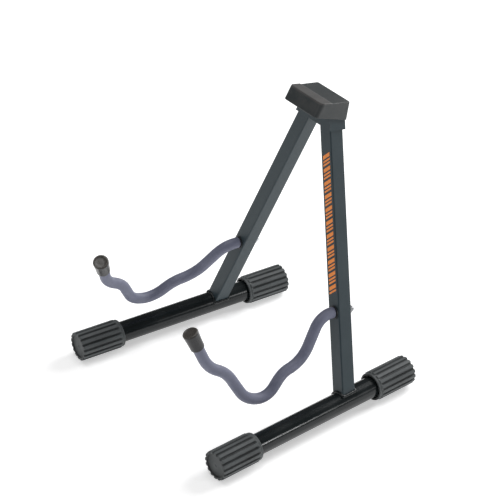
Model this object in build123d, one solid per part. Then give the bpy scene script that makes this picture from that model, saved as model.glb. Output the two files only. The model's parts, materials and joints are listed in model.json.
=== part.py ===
from build123d import *
import os
from math import asin, atan, atan2, cos, degrees, radians, sin, tan

# A folding A-frame guitar stand, in millimetres. +Z is up, the guitar leans in from -Y, and +X is to the
# right of someone who faces the stand from the front. Two square legs hang from a folded steel bracket
# and swing together about two parallel pivots. Each leg is welded to a round foot tube with a ribbed
# rubber sleeve at each end, and carries a padded wavy arm that turns in the leg. A moulded cap over the
# bracket is the rest for the guitar's back. The origin is on the floor under the middle of the stand.

os.makedirs("parts", exist_ok=True)

# Stance of the opened stand, in degrees.
LEAN = 10.75  # of the plane of the legs, rearwards from upright
SPLAY = 20.0  # of each leg in that plane, from the middle line
ARM_SWING = {1: 14.3, -1: -7.3}  # each arm's turn in its leg; above zero the valley swings inwards

# Legs.
LEG_WIDTH = 22.0
LEG_WALL = 1.5
LEG_CORNER = 1.8
LEG_LENGTH = 402.5  # from the pivot to the foot tube's axis
LEG_ABOVE_PIVOT = 7.5
PIVOT_OFFSET = 15.0  # of each pivot from the middle line

# Foot tubes and their sleeves. Distances are along the foot, from where the leg meets it.
FOOT_RADIUS = 15.0
FOOT_WALL = 1.5
FRONT_REACH = 228.5
REAR_REACH = 115.5
SLEEVE_LENGTH = 67.0
SLEEVE_RADIUS = 21.0  # over the ribs
SLEEVE_COLLAR = 5.0  # length of the smooth band at the mouth
SLEEVE_COLLAR_RADIUS = 19.9
SLEEVE_FLOOR = 6.0  # thickness of the closed end
MOUTH_RADIUS = 17.2
MOUTH_DEPTH = 5.0
GROOVES = 16
GROOVE_DEPTH = 1.7
GROOVE_WIDTH = 4.2
GROOVE_FLOOR_WIDTH = 2.6
SLEEVE_EDGE = 0.8
END_RECESS_RADIUS = 16.2
END_RECESS_DEPTH = 1.8

WELD_SIZE = 2.6

# Arms. The centre line starts at the leg's front face: forward reach and height of each corner, and the
# radius of the bend at each corner between the two ends.
ARM_BELOW_PIVOT = 277.5
ARM_CORNERS = [
    (22.5, 0.0),
    (46.9, -62.5),
    (79.5, -75.0),
    (100.0, -106.0),
    (137.0, -104.0),
    (175.9, -55.3),
    (207.7, -41.8),
]
ARM_BENDS = [29.0, 46.0, 35.0, 28.0, 45.0, 64.0, 54.0]
ARM_TIP = (242.5, 14.5)
ROD_RADIUS = 5.0
COVER_RADIUS = 7.8
COLLAR_RADIUS = 6.8
COLLAR_LENGTH = 1.5
TIP_LENGTH = 28.0
TIP_BASE_RADIUS = 9.7
TIP_END_RADIUS = 10.9
TIP_FLOOR = 6.0
TIP_LAP = 5.0  # how far the cap reaches over the cover
TIP_RIM = 1.4
TIP_RECESS_RADIUS = 8.2
TIP_RECESS_DEPTH = 0.6
TIP_BASE_EDGE = 0.8

# Plastic bushes that the arm turns in.
BUSH_FLANGE = 1.5
FRONT_FLANGE_RADIUS = 9.2
FRONT_BUSH_RADIUS = 7.2
REAR_FLANGE_RADIUS = 8.2
REAR_BUSH_RADIUS = 6.6
BUSH_REACH = 6.0  # from the leg's face into the tube

# M6 fasteners.
BOLT_RADIUS = 3.0
BOLT_HEAD = 4.0
BOLT_STICK_OUT = 2.5
HEX_ACROSS = 10.0
HEX_TURNED_DOWN = 0.5
NUT_HEIGHT = 6.0
NUT_HEXAGON = 4.3  # height of the lock nut's hexagon, below its round collar
NUT_COLLAR_RADIUS = 4.2
NUT_COLLAR_EDGE = 0.8
WASHER_RADIUS = 6.0
WASHER_THICKNESS = 1.6
WASHER_HOLE_RADIUS = 3.2
PIVOT_BUSH_RADIUS = 5.0
PIVOT_BUSH_BORE = 3.15

# Bracket: a folded steel box, open below, whose end walls stop the opened legs.
SHEET = 2.0
BRACKET_GAP = 0.5  # between a leg and the bracket's front or rear wall
STOP_GAP = 0.3  # between an opened leg and the end wall
BRACKET_TOP = 11.1  # underside of the roof, above the pivots
BRACKET_BOTTOM = -23.5
STOP_TOP = -2.0  # top of the end wall, along the leg from the pivot
BRACKET_FOLD = 1.6

# Cap. Its side outline is in distance behind the pivots and height above them.
CAP_HALF_WIDTH = 35.5
CAP_WALL = 1.9
CAP_FRONT_WALL = 4.0
CAP_FRONT_FOOT = (-42.0, -2.4)
CAP_FRONT_TOP = (-34.3, 17.4)
CAP_STEP = (-17.0, 16.6)
CAP_STEP_RUN = 1.5
CAP_STEP_DEPTH = 1.1
CAP_REAR_TOP = 15.3
CAP_REAR_FOOT = -11.7
CAP_FRONT_CORNER = 6.0
CAP_REAR_CORNER = 3.0
CAP_EDGE = 0.8
CAP_RIB = 2.5
CAP_RIB_OFFSET = 26.0
NUT_NOTCH_RADIUS = 7.5
SCREW_HEIGHT = -3.0
SCREW_RADIUS = 1.75
SCREW_HEAD_RADIUS = 3.1
SCREW_HEAD_HEIGHT = 2.2
SCREW_HEAD_EDGE = 0.9
SCREW_LENGTH = 13.0
SCREW_BOSS_RADIUS = 3.5

RUNNING = 0.05  # radial clearance of one piece that turns in another
EASY = 0.1  # radial clearance of one piece pushed over another
PLAY = 0.3  # gap between the faces of two pieces that turn against each other

FRONT_FACE = (Align.CENTER, Align.MIN, Align.CENTER)
ON_BASE = (Align.CENTER, Align.CENTER, Align.MIN)
LEG_HALF = LEG_WIDTH / 2
BRACKET_HALF_INSIDE = LEG_HALF + BRACKET_GAP
BRACKET_HALF = BRACKET_HALF_INSIDE + SHEET
SIDE_NAMES = {1: "right", -1: "left"}
UPPER_FACE_RISE = 0.6  # least upward part of the normal of one of the cap's upper faces

# A foot is level, so it meets its leg at this angle from square, and points its rear end inwards.
FOOT_PITCH = degrees(atan(tan(radians(LEAN)) / cos(radians(SPLAY))))
FOOT_TOE_IN = degrees(asin(sin(radians(SPLAY)) * sin(radians(FOOT_PITCH))))


def head_frame():
    """The frame midway between the pivots: +Y is the pivots' direction, rearwards, and +Z is up the stand."""
    drop = LEG_LENGTH * cos(radians(SPLAY))
    rear = drop * sin(radians(LEAN))
    up = SLEEVE_RADIUS + drop * cos(radians(LEAN))
    return Pos(0, rear, up) * Rot(X=-LEAN)


def leg_frame(side):
    """The frame at a leg's pivot, with +Z up the leg and +Y rearwards along the pivot."""
    return head_frame() * Pos(side * PIVOT_OFFSET, 0, 0) * Rot(Y=-side * SPLAY)


def arm_frame(side):
    """The frame where an arm meets the leg's front face, with +Z up the arm's own plane."""
    return leg_frame(side) * Pos(0, -LEG_HALF, -ARM_BELOW_PIVOT) * Rot(Y=side * ARM_SWING[side])


def foot_frame(side):
    """The level frame where a leg meets its foot's axis, with +Y rearwards along the foot."""
    junction = (leg_frame(side) * Pos(0, 0, -LEG_LENGTH)).position
    return Pos(*junction) * Rot(Z=side * FOOT_TOE_IN)


def rod_along_y(radius, start, end):
    """A cylinder about the Y axis, from start to end."""
    base = Plane((0, start, 0), x_dir=(1, 0, 0), z_dir=(0, 1, 0))
    return extrude(base * Circle(radius), amount=end - start)


def tube_along_y(radius, bore, start, end):
    """A hollow cylinder about the Y axis."""
    return rod_along_y(radius, start, end) - rod_along_y(bore, start, end)


def hexagon_along_y(start, end):
    """A hexagonal prism about the Y axis, with its corners turned down at both ends."""
    across_corners = HEX_ACROSS / cos(radians(30))
    base = Plane((0, start, 0), x_dir=(1, 0, 0), z_dir=(0, 1, 0))
    prism = extrude(base * RegularPolygon(across_corners / 2, 6), amount=end - start)
    rims = rod_along_y(across_corners / 2, start, end).edges().filter_by(GeomType.CIRCLE)
    return prism & chamfer(rims, HEX_TURNED_DOWN)


# Legs


def leg_tube():
    """Square tube on the leg's axis, shaped to the foot tube below and bored for the pivot and the arm."""
    base = Plane((0, 0, -LEG_LENGTH))
    length = LEG_LENGTH + LEG_ABOVE_PIVOT
    inside = LEG_WIDTH - 2 * LEG_WALL
    tube = extrude(base * RectangleRounded(LEG_WIDTH, LEG_WIDTH, LEG_CORNER), amount=length)
    tube -= extrude(base * RectangleRounded(inside, inside, LEG_CORNER - LEG_WALL), amount=length)
    tube -= foot_bar(FOOT_RADIUS + RUNNING)
    tube -= rod_along_y(PIVOT_BUSH_RADIUS + RUNNING, -LEG_WIDTH, LEG_WIDTH)
    arm_axis = Pos(0, 0, -ARM_BELOW_PIVOT)
    tube -= arm_axis * rod_along_y(FRONT_BUSH_RADIUS + RUNNING, -LEG_WIDTH, 0)
    tube -= arm_axis * rod_along_y(REAR_BUSH_RADIUS + RUNNING, 0, LEG_WIDTH)
    return tube


def foot_bar(radius):
    """A bar along the foot's axis in the leg's frame, long enough to cross the leg."""
    return Pos(0, 0, -LEG_LENGTH) * Rot(X=FOOT_PITCH) * rod_along_y(radius, -2 * LEG_WIDTH, 2 * LEG_WIDTH)


def weld_bead():
    """The band of weld round the leg where it stands on the foot tube."""
    wide = LEG_WIDTH + 2 * WELD_SIZE
    foot = Plane((0, 0, -LEG_LENGTH))
    block = extrude(foot * RectangleRounded(wide, wide, LEG_CORNER + WELD_SIZE), amount=3 * LEG_WIDTH)
    leg = extrude(foot * RectangleRounded(LEG_WIDTH, LEG_WIDTH, LEG_CORNER), amount=3 * LEG_WIDTH)
    return (block & foot_bar(FOOT_RADIUS + WELD_SIZE)) - foot_bar(FOOT_RADIUS) - leg


def foot_tube():
    """Round tube along the foot, ending inside the closed end of each sleeve."""
    start = -FRONT_REACH + SLEEVE_FLOOR + EASY
    end = REAR_REACH - SLEEVE_FLOOR - EASY
    return tube_along_y(FOOT_RADIUS, FOOT_RADIUS - FOOT_WALL, start, end)


def foot_sleeve():
    """Ribbed rubber sleeve on +Z, with its mouth at the origin and its free end closed."""
    body = Pos(0, 0, SLEEVE_COLLAR) * Cylinder(SLEEVE_RADIUS, SLEEVE_LENGTH - SLEEVE_COLLAR, align=ON_BASE)
    body += Cylinder(SLEEVE_COLLAR_RADIUS, SLEEVE_LENGTH, align=ON_BASE)
    rims = body.edges().filter_by(GeomType.CIRCLE).sort_by(Axis.Z)
    body = fillet([rims[0], rims[-1]], SLEEVE_EDGE)
    groove = groove_cutter(SLEEVE_LENGTH)
    for index in range(GROOVES):
        turn = 360 * (index + 0.5) / GROOVES
        body -= Rot(Z=turn) * Pos(SLEEVE_RADIUS, 0, SLEEVE_COLLAR) * groove
    bore_depth = SLEEVE_LENGTH - SLEEVE_FLOOR
    body -= extrude(Circle(FOOT_RADIUS + EASY), amount=bore_depth)
    body -= extrude(Circle(MOUTH_RADIUS), amount=MOUTH_DEPTH)
    recess = extrude(Circle(END_RECESS_RADIUS), amount=SLEEVE_LENGTH)
    return body - Pos(0, 0, SLEEVE_LENGTH - END_RECESS_DEPTH) * recess


def groove_cutter(length):
    """A drafted bar along +Z, whose middle plane of width GROOVE_WIDTH lies on the sleeve's skin."""
    outside = GROOVE_WIDTH + (GROOVE_WIDTH - GROOVE_FLOOR_WIDTH)
    section = Polygon(
        (-GROOVE_DEPTH, -GROOVE_FLOOR_WIDTH / 2),
        (GROOVE_DEPTH, -outside / 2),
        (GROOVE_DEPTH, outside / 2),
        (-GROOVE_DEPTH, GROOVE_FLOOR_WIDTH / 2),
        align=None,
    )
    return extrude(section, amount=length)


def front_arm_bush():
    """Flanged bush in the leg's front wall, in the frame of the arm's axis at that wall."""
    flange = tube_along_y(FRONT_FLANGE_RADIUS, ROD_RADIUS + RUNNING, -BUSH_FLANGE, 0)
    return flange + tube_along_y(FRONT_BUSH_RADIUS, ROD_RADIUS + RUNNING, 0, BUSH_REACH)


def rear_arm_bush():
    """Flanged bush in the leg's rear wall, in the same frame."""
    flange = tube_along_y(REAR_FLANGE_RADIUS, ROD_RADIUS + RUNNING, LEG_WIDTH, LEG_WIDTH + BUSH_FLANGE)
    inner = LEG_WIDTH - BUSH_REACH
    return flange + tube_along_y(REAR_BUSH_RADIUS, ROD_RADIUS + RUNNING, inner, LEG_WIDTH)


# Arms


def tip_point(back):
    """The point of the centre line that lies back from the arm's end, as forward reach and height."""
    along = radians(tip_angle())
    return (ARM_TIP[0] - back * cos(along), ARM_TIP[1] - back * sin(along))


def tip_angle():
    """The rise of the arm's last straight, in degrees."""
    last = ARM_CORNERS[-1]
    return degrees(atan2(ARM_TIP[1] - last[1], ARM_TIP[0] - last[0]))


def swept_bar(radius, start, back):
    """A round bar along the centre line, from a forward reach of start to a point back from the tip."""
    corners = [(start, 0.0)] + ARM_CORNERS + [tip_point(back)]
    path = FilletPolyline(*[(0, -reach, height) for reach, height in corners], radius=ARM_BENDS)
    section = Plane(path @ 0, z_dir=path % 0) * Circle(radius)
    bar = sweep(section, path=path)
    expected = section.area * path.length
    print(f"bar of radius {radius}: {bar.volume:.0f} mm3, section times length {expected:.0f} mm3")
    return bar


ROOT = BUSH_FLANGE + PLAY  # where the arm's cover starts, in front of the leg
SHOULDER = LEG_WIDTH + BUSH_FLANGE + PLAY  # where the rod's thread starts, behind the leg's front face


def arm_rod():
    """Steel rod through both bushes and out along the arm, with a collar in front and an M6 end behind."""
    rod = swept_bar(ROD_RADIUS, -SHOULDER, TIP_FLOOR)
    rod += rod_along_y(COLLAR_RADIUS, -ROOT - COLLAR_LENGTH, -ROOT)
    thread_end = SHOULDER + WASHER_THICKNESS + NUT_HEIGHT + BOLT_STICK_OUT
    return rod + rod_along_y(BOLT_RADIUS, SHOULDER, thread_end)


def arm_cover():
    """Soft tube round the rod, from the leg into the tip cap."""
    cover = swept_bar(COVER_RADIUS, ROOT, TIP_LENGTH - TIP_LAP)
    cover -= swept_bar(ROD_RADIUS + EASY, 0, 0)
    return cover - rod_along_y(COLLAR_RADIUS + EASY, -ROOT - COLLAR_LENGTH - EASY, 0)


def arm_tip_cap():
    """Rubber cap over the end of the rod and of the cover, flared to a rounded rim round a shallow dish."""
    cap = Cone(TIP_BASE_RADIUS, TIP_END_RADIUS, TIP_LENGTH, align=ON_BASE)
    cap = fillet(cap.edges().filter_by(GeomType.CIRCLE).sort_by(Axis.Z)[-1], TIP_RIM)
    cap = fillet(cap.edges().filter_by(GeomType.CIRCLE).sort_by(Axis.Z)[0], TIP_BASE_EDGE)
    dish = Pos(0, 0, TIP_LENGTH - TIP_RECESS_DEPTH)
    cap -= dish * extrude(Circle(TIP_RECESS_RADIUS), amount=TIP_LENGTH)
    cap -= extrude(Circle(ROD_RADIUS + EASY), amount=TIP_LENGTH - TIP_FLOOR + EASY)
    cap -= extrude(Circle(COVER_RADIUS + EASY), amount=TIP_LAP + EASY)
    base = tip_point(TIP_LENGTH)
    return Pos(0, -base[0], base[1]) * Rot(X=90 - tip_angle()) * cap


def arm_washer():
    """Washer behind the rear bush."""
    return tube_along_y(WASHER_RADIUS, WASHER_HOLE_RADIUS, SHOULDER, SHOULDER + WASHER_THICKNESS)


def lock_nut(start):
    """Lock nut: a hexagon with a round collar over its plastic ring."""
    hexagon = hexagon_along_y(start, start + NUT_HEXAGON)
    collar = rod_along_y(NUT_COLLAR_RADIUS, start, start + NUT_HEIGHT)
    collar = fillet(collar.edges().filter_by(GeomType.CIRCLE).sort_by(Axis.Y)[-1], NUT_COLLAR_EDGE)
    return hexagon + collar - rod_along_y(BOLT_RADIUS + RUNNING, start, start + NUT_HEIGHT)


# Head


def side_reach(height, gap):
    """How far out the plane beyond an opened leg's outer face lies at a height, with that gap from it."""
    return PIVOT_OFFSET + (LEG_HALF + gap) / cos(radians(SPLAY)) - height * tan(radians(SPLAY))


def bracket_block(bottom, top, gap, half_depth):
    """A block whose ends lie parallel to the opened legs."""
    low = side_reach(bottom, gap)
    high = side_reach(top, gap)
    outline = Polygon((-low, bottom), (low, bottom), (high, top), (-high, top), align=None)
    return extrude(Plane.XZ * outline, amount=half_depth, both=True)


def head_bracket():
    """Folded steel box round the tops of the legs, open below and at the ends above the stops."""
    box = bracket_block(BRACKET_BOTTOM, BRACKET_TOP + SHEET, STOP_GAP + SHEET, BRACKET_HALF)
    box = fillet(box.edges().filter_by(Axis.X).group_by(Axis.Z)[-1], BRACKET_FOLD)
    box -= bracket_block(BRACKET_BOTTOM - SHEET, BRACKET_TOP, STOP_GAP, BRACKET_HALF_INSIDE)
    window_size = LEG_WIDTH / 2
    window_corner = (Align.MIN, Align.CENTER, Align.MIN)
    window = Box(window_size, 2 * BRACKET_HALF_INSIDE, window_size, align=window_corner)
    for side in SIDE_NAMES:
        pivot = Pos(side * PIVOT_OFFSET, 0, 0)
        box -= pivot * rod_along_y(WASHER_HOLE_RADIUS, -LEG_WIDTH, LEG_WIDTH)
        inner = LEG_HALF - SHEET if side > 0 else -LEG_HALF + SHEET - window_size
        box -= pivot * Rot(Y=-side * SPLAY) * Pos(inner, 0, STOP_TOP) * window
    return box - Pos(0, 0, SCREW_HEIGHT) * rod_along_y(SCREW_RADIUS + RUNNING, -LEG_WIDTH, 0)


def cap_block(half_width, wall, front_wall):
    """The cap's outline seen from the side, drawn in by its walls and run out below, over a width."""
    foot, top, step = (Vector(*point) for point in (CAP_FRONT_FOOT, CAP_FRONT_TOP, CAP_STEP))
    slope = (top - foot).normalized()
    run_out = slope * (-2 * wall)
    inwards = Vector(front_wall, 0)
    down = Vector(0, -wall)
    back_of_step = step + Vector(CAP_STEP_RUN, -CAP_STEP_DEPTH)
    rear = BRACKET_HALF if wall else BRACKET_HALF + CAP_WALL
    outline = Polygon(
        foot + run_out + inwards,
        top + down + inwards,
        step + down,
        back_of_step + down,
        (rear, CAP_REAR_TOP - wall),
        (rear, CAP_REAR_FOOT - 2 * wall),
        align=None,
    )
    return extrude(Plane.YZ * outline, amount=half_width, both=True)


def cap_shell():
    """The cap's skin: rounded outside, open below, with the front wall thicker than the others."""
    shell = cap_block(CAP_HALF_WIDTH, 0, 0)
    front = shell.faces().sort_by(Axis.Y)[0]
    shell = fillet(front.edges().filter_by(Axis.X, reverse=True), CAP_FRONT_CORNER)
    rear = shell.faces().sort_by(Axis.Y)[-1]
    shell = fillet(rear.edges().filter_by(Axis.Z), CAP_REAR_CORNER)
    shell = fillet(rim_of_top(shell), CAP_EDGE)
    return shell - cap_block(CAP_HALF_WIDTH - CAP_WALL, CAP_WALL, CAP_FRONT_WALL)


def rim_of_top(shell):
    """The edges between the cap's upper faces and its upright ones."""
    upper = [face for face in shell.faces() if face.normal_at().Z > UPPER_FACE_RISE]
    upright = [face for face in shell.faces() if abs(face.normal_at().Z) < UPPER_FACE_RISE]
    upright_edges = [edge for face in upright for edge in face.edges()]
    return [edge for face in upper for edge in face.edges() if edge in upright_edges]


def rest_cap():
    """Moulded cap over the bracket, whose sloping front carries the guitar's back."""
    cap = cap_shell()
    for offset in (-CAP_RIB_OFFSET, 0, CAP_RIB_OFFSET):
        cap += Pos(offset, 0, 0) * cap_rib()
    boss_depth = SCREW_LENGTH - SHEET + 1
    boss = rod_along_y(SCREW_BOSS_RADIUS, -BRACKET_HALF - boss_depth, -BRACKET_HALF)
    cap += Pos(0, 0, SCREW_HEIGHT) * boss
    cap -= Pos(0, 0, SCREW_HEIGHT) * rod_along_y(SCREW_RADIUS, -BRACKET_HALF - boss_depth + 1, 0)
    for side in SIDE_NAMES:
        cap -= Pos(side * PIVOT_OFFSET, 0, 0) * nut_notch()
    return cap


def cap_rib():
    """A rib across the front hollow, from the bracket to the sloping wall."""
    rib = cap_block(CAP_RIB / 2, 0, 0) & cap_block(CAP_RIB, CAP_WALL / 2, CAP_FRONT_WALL / 2)
    return rib - Pos(0, -BRACKET_HALF, 0) * Box(LEG_WIDTH, 4 * LEG_WIDTH, 4 * LEG_WIDTH, align=FRONT_FACE)


def nut_notch():
    """The round-topped cut in the cap's rear wall that clears a nut, open below."""
    deep = 2 * CAP_WALL
    hole = rod_along_y(NUT_NOTCH_RADIUS, BRACKET_HALF, BRACKET_HALF + deep)
    slot = Box(2 * NUT_NOTCH_RADIUS, deep, LEG_WIDTH, align=(Align.CENTER, Align.MIN, Align.MAX))
    return hole + Pos(0, BRACKET_HALF, 0) * slot


def cap_screw():
    """Pan-head screw from inside the bracket forward into the cap's boss."""
    head = rod_along_y(SCREW_HEAD_RADIUS, -BRACKET_HALF_INSIDE, -BRACKET_HALF_INSIDE + SCREW_HEAD_HEIGHT)
    head = fillet(head.edges().filter_by(GeomType.CIRCLE).sort_by(Axis.Y)[-1], SCREW_HEAD_EDGE)
    return head + rod_along_y(SCREW_RADIUS, -BRACKET_HALF_INSIDE - SCREW_LENGTH, -BRACKET_HALF_INSIDE)


def pivot_bolt():
    """Hexagon bolt from front to rear through the bracket and a bush."""
    under_head = -BRACKET_HALF - WASHER_THICKNESS
    end = BRACKET_HALF + WASHER_THICKNESS + NUT_HEIGHT + BOLT_STICK_OUT
    return hexagon_along_y(under_head - BOLT_HEAD, under_head) + rod_along_y(BOLT_RADIUS, under_head, end)


def pivot_bush():
    """Steel sleeve on the bolt, clamped between the bracket's walls, that the leg turns on."""
    return tube_along_y(PIVOT_BUSH_RADIUS, PIVOT_BUSH_BORE, -BRACKET_HALF_INSIDE, BRACKET_HALF_INSIDE)


def pivot_washers():
    """The washers under a bolt's head and under its nut."""
    front = -BRACKET_HALF - WASHER_THICKNESS
    pair = [tube_along_y(WASHER_RADIUS, WASHER_HOLE_RADIUS, start, start + WASHER_THICKNESS)
            for start in (front, BRACKET_HALF)]
    return Compound(children=pair)


# Assembly


def head_nodes():
    """The pieces that the pivots hold still."""
    head = head_frame()
    nodes = {
        "head_bracket": head * head_bracket(),
        "rest_cap": head * rest_cap(),
        "cap_screw": head * Pos(0, 0, SCREW_HEIGHT) * cap_screw(),
    }
    for side, name in SIDE_NAMES.items():
        pivot = head * Pos(side * PIVOT_OFFSET, 0, 0)
        nodes[f"{name}_pivot_bolt"] = pivot * pivot_bolt()
        nodes[f"{name}_pivot_bush"] = pivot * pivot_bush()
        nodes[f"{name}_pivot_washers"] = pivot * pivot_washers()
        nodes[f"{name}_pivot_nut"] = pivot * lock_nut(BRACKET_HALF + WASHER_THICKNESS)
    return nodes


def leg_nodes(side):
    """The pieces of one leg, which swing together."""
    name = SIDE_NAMES[side]
    leg = leg_frame(side)
    foot = foot_frame(side)
    bushes = leg * Pos(0, -LEG_HALF, -ARM_BELOW_PIVOT)
    front_mouth = foot * Pos(0, SLEEVE_LENGTH - FRONT_REACH, 0) * Rot(X=90)
    rear_mouth = foot * Pos(0, REAR_REACH - SLEEVE_LENGTH, 0) * Rot(X=-90)
    return {
        f"{name}_leg_tube": leg * leg_tube(),
        f"{name}_weld_bead": leg * weld_bead(),
        f"{name}_foot_tube": foot * foot_tube(),
        f"{name}_front_foot_sleeve": front_mouth * foot_sleeve(),
        f"{name}_rear_foot_sleeve": rear_mouth * foot_sleeve(),
        f"{name}_front_arm_bush": bushes * front_arm_bush(),
        f"{name}_rear_arm_bush": bushes * rear_arm_bush(),
    }


def arm_nodes(side):
    """The pieces of one arm, which turn together in the leg."""
    name = SIDE_NAMES[side]
    arm = arm_frame(side)
    return {
        f"{name}_arm_rod": arm * arm_rod(),
        f"{name}_arm_cover": arm * arm_cover(),
        f"{name}_arm_tip_cap": arm * arm_tip_cap(),
        f"{name}_arm_washer": arm * arm_washer(),
        f"{name}_arm_nut": arm * lock_nut(SHOULDER + WASHER_THICKNESS),
    }


def all_nodes():
    """Every node by its name, moved so that the origin is on the floor under the middle of the stand."""
    nodes = head_nodes()
    for side in SIDE_NAMES:
        nodes |= leg_nodes(side)
        nodes |= arm_nodes(side)
    to_origin = origin_shift(nodes)
    return {name: to_origin * shape for name, shape in nodes.items()}


def origin_shift(nodes):
    """The move that brings the middle of the nodes' base to the origin."""
    boxes = [shape.bounding_box() for shape in nodes.values()]
    low = [min(tuple(box.min)[axis] for box in boxes) for axis in range(3)]
    high = [max(tuple(box.max)[axis] for box in boxes) for axis in range(3)]
    return Pos(-(low[0] + high[0]) / 2, -(low[1] + high[1]) / 2, -low[2])


def main():
    """Write every node to parts/."""
    for name, shape in all_nodes().items():
        export_step(shape, f"parts/{name}.step")


if __name__ == "__main__":
    main()
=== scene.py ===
import json
import logging
import math
from dataclasses import dataclass, field
from enum import Enum
from typing import Callable, Sequence

import bpy
from mathutils import Matrix, Vector


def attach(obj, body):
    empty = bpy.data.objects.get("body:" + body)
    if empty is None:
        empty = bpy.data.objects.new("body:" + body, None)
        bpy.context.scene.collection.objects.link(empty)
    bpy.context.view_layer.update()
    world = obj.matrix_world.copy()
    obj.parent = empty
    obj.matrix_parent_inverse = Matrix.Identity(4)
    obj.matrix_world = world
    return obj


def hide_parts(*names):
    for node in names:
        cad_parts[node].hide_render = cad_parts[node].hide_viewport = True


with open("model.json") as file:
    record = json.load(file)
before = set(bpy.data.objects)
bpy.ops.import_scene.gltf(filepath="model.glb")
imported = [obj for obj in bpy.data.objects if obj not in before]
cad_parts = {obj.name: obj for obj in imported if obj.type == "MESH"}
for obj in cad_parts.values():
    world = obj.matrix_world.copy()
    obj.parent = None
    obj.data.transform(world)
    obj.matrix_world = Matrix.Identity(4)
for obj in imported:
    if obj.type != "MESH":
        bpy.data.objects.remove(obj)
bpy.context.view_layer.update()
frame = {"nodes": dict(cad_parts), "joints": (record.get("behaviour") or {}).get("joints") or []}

LOG = logging.getLogger("guitar_stand")
MM = 0.001
JOINTS = {joint["name"]: joint for joint in frame["joints"]}
NODES = frame["nodes"]

# The attribute that holds painted light on rubber pieces: how far each point is painted paler, as painted
# highlight, with painted shade where it stays low.
PAINTED_LIGHT_ATTRIBUTE = "wear_and_painted_light"

Point2 = tuple[float, float]
Colour = tuple[float, float, float]


class Side(Enum):
    """The two mirrored halves of the stand, by the name that nodes and bodies begin with."""

    LEFT = "left"
    RIGHT = "right"

    @property
    def sign(self) -> int:
        """The sign of X on this side."""
        return -1 if self is Side.LEFT else 1


class FootEnd(Enum):
    """The two ends of a foot, by the name that the nodes spell."""

    FRONT = "front"
    REAR = "rear"


# Shader wiring


@dataclass(frozen=True)
class Wire:
    """A value on its way between shader nodes. Arithmetic on it adds Math nodes."""

    sheet: "ShaderSheet"
    socket: bpy.types.NodeSocket

    def _math(self, operation: str, *values: "Wire | float", clamp: bool = False) -> "Wire":
        """Add one Math node, whose result may be held between 0 and 1."""
        settings = {"operation": operation, "use_clamp": clamp}
        return self.sheet.node("ShaderNodeMath", settings, dict(enumerate(values)))

    def __add__(self, other: "Wire | float") -> "Wire":
        """Sum."""
        return self._math("ADD", self, other)

    def __radd__(self, other: float) -> "Wire":
        """Sum with a number in front."""
        return self._math("ADD", other, self)

    def __sub__(self, other: "Wire | float") -> "Wire":
        """Difference."""
        return self._math("SUBTRACT", self, other)

    def __rsub__(self, other: float) -> "Wire":
        """Difference from a number."""
        return self._math("SUBTRACT", other, self)

    def __mul__(self, other: "Wire | float") -> "Wire":
        """Product."""
        return self._math("MULTIPLY", self, other)

    def __rmul__(self, other: float) -> "Wire":
        """Product with a number in front."""
        return self._math("MULTIPLY", other, self)

    def held(self) -> "Wire":
        """The value held between 0 and 1."""
        return self._math("ADD", self, 0.0, clamp=True)

    def step(self, low: float, high: float) -> "Wire":
        """A smooth step from 0 at low to 1 at high."""
        values = {"Value": self, "From Min": low, "From Max": high}
        return self.sheet.node("ShaderNodeMapRange", {"interpolation_type": "SMOOTHSTEP"}, values)


class ShaderSheet:
    """The node sheet of one material, with the Principled shader that ends it."""

    def __init__(self, name: str) -> None:
        """Start an empty material.

        Args:
            name: The material's name.
        """
        self.material = bpy.data.materials.new(name)
        self.material.use_nodes = True
        self.tree = self.material.node_tree
        self.tree.nodes.clear()
        self.surface = self.tree.nodes.new("ShaderNodeBsdfPrincipled")
        output = self.tree.nodes.new("ShaderNodeOutputMaterial")
        self.tree.links.new(self.surface.outputs[0], output.inputs["Surface"])
        self.place = self.node("ShaderNodeTexCoord", {}, {}, "Object")

    def node(
        self,
        kind: str,
        settings: dict[str, object],
        values: dict[str | int, object],
        output: str | int = 0,
    ) -> Wire:
        """Add one node of any type.

        Args:
            kind: The node's type name.
            settings: Its settings, which are set before its inputs.
            values: What goes into its inputs, as numbers, tuples or wires, by name or number.
            output: The output to return.

        Returns:
            The named output.
        """
        node = self.tree.nodes.new(kind)
        for name, setting in settings.items():
            setattr(node, name, setting)
        for key, value in values.items():
            self.feed(node.inputs[key], value)
        return Wire(self, node.outputs[output])

    def feed(self, socket: bpy.types.NodeSocket, value: object) -> None:
        """Put a number, a tuple or a wire into an input.

        Args:
            socket: The input.
            value: What goes in.
        """
        if isinstance(value, Wire):
            self.tree.links.new(value.socket, socket)
        elif isinstance(value, tuple) and len(value) == 3 and socket.type == "RGBA":
            socket.default_value = (*value, 1.0)
        else:
            socket.default_value = value

    def shade(self, **values: object) -> None:
        """Feed the Principled shader's inputs by name, with underscores for spaces."""
        for name, value in values.items():
            self.feed(self.surface.inputs[name.replace("_", " ")], value)

    def stretched(self, scale: tuple[float, float, float]) -> Wire:
        """The surface's place, scaled along each axis."""
        return self.node("ShaderNodeVectorMath", {"operation": "MULTIPLY"}, {0: self.place, 1: scale})

    def grain(self, size: float, detail: float = 2.0, place: Wire | None = None) -> Wire:
        """Noise around 0.5 with lumps about a size across, in metres, read at a place."""
        values = {"Vector": place or self.place, "Scale": 1.0 / size, "Detail": detail}
        return self.node("ShaderNodeTexNoise", {}, values, "Fac")

    def cells(self, size: float) -> Wire:
        """Distance from the nearest of scattered points, which lie about a size apart in metres."""
        values = {"Vector": self.place, "Scale": 1.0 / size}
        return self.node("ShaderNodeTexVoronoi", {}, values, "Distance")

    def mixed(self, first: Colour | Wire, second: Colour | Wire, share: Wire) -> Wire:
        """A colour on the way from the first to the second, by the second's share."""
        return self.node("ShaderNodeMix", {"data_type": "RGBA"}, {0: share, 6: first, 7: second}, 2)

    def relief(self, height: Wire, depth: float) -> Wire:
        """A bumped normal, from a height in units of a depth in metres."""
        return self.node("ShaderNodeBump", {}, {"Height": height, "Distance": depth, "Strength": 1.0})


# Finishes


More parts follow.
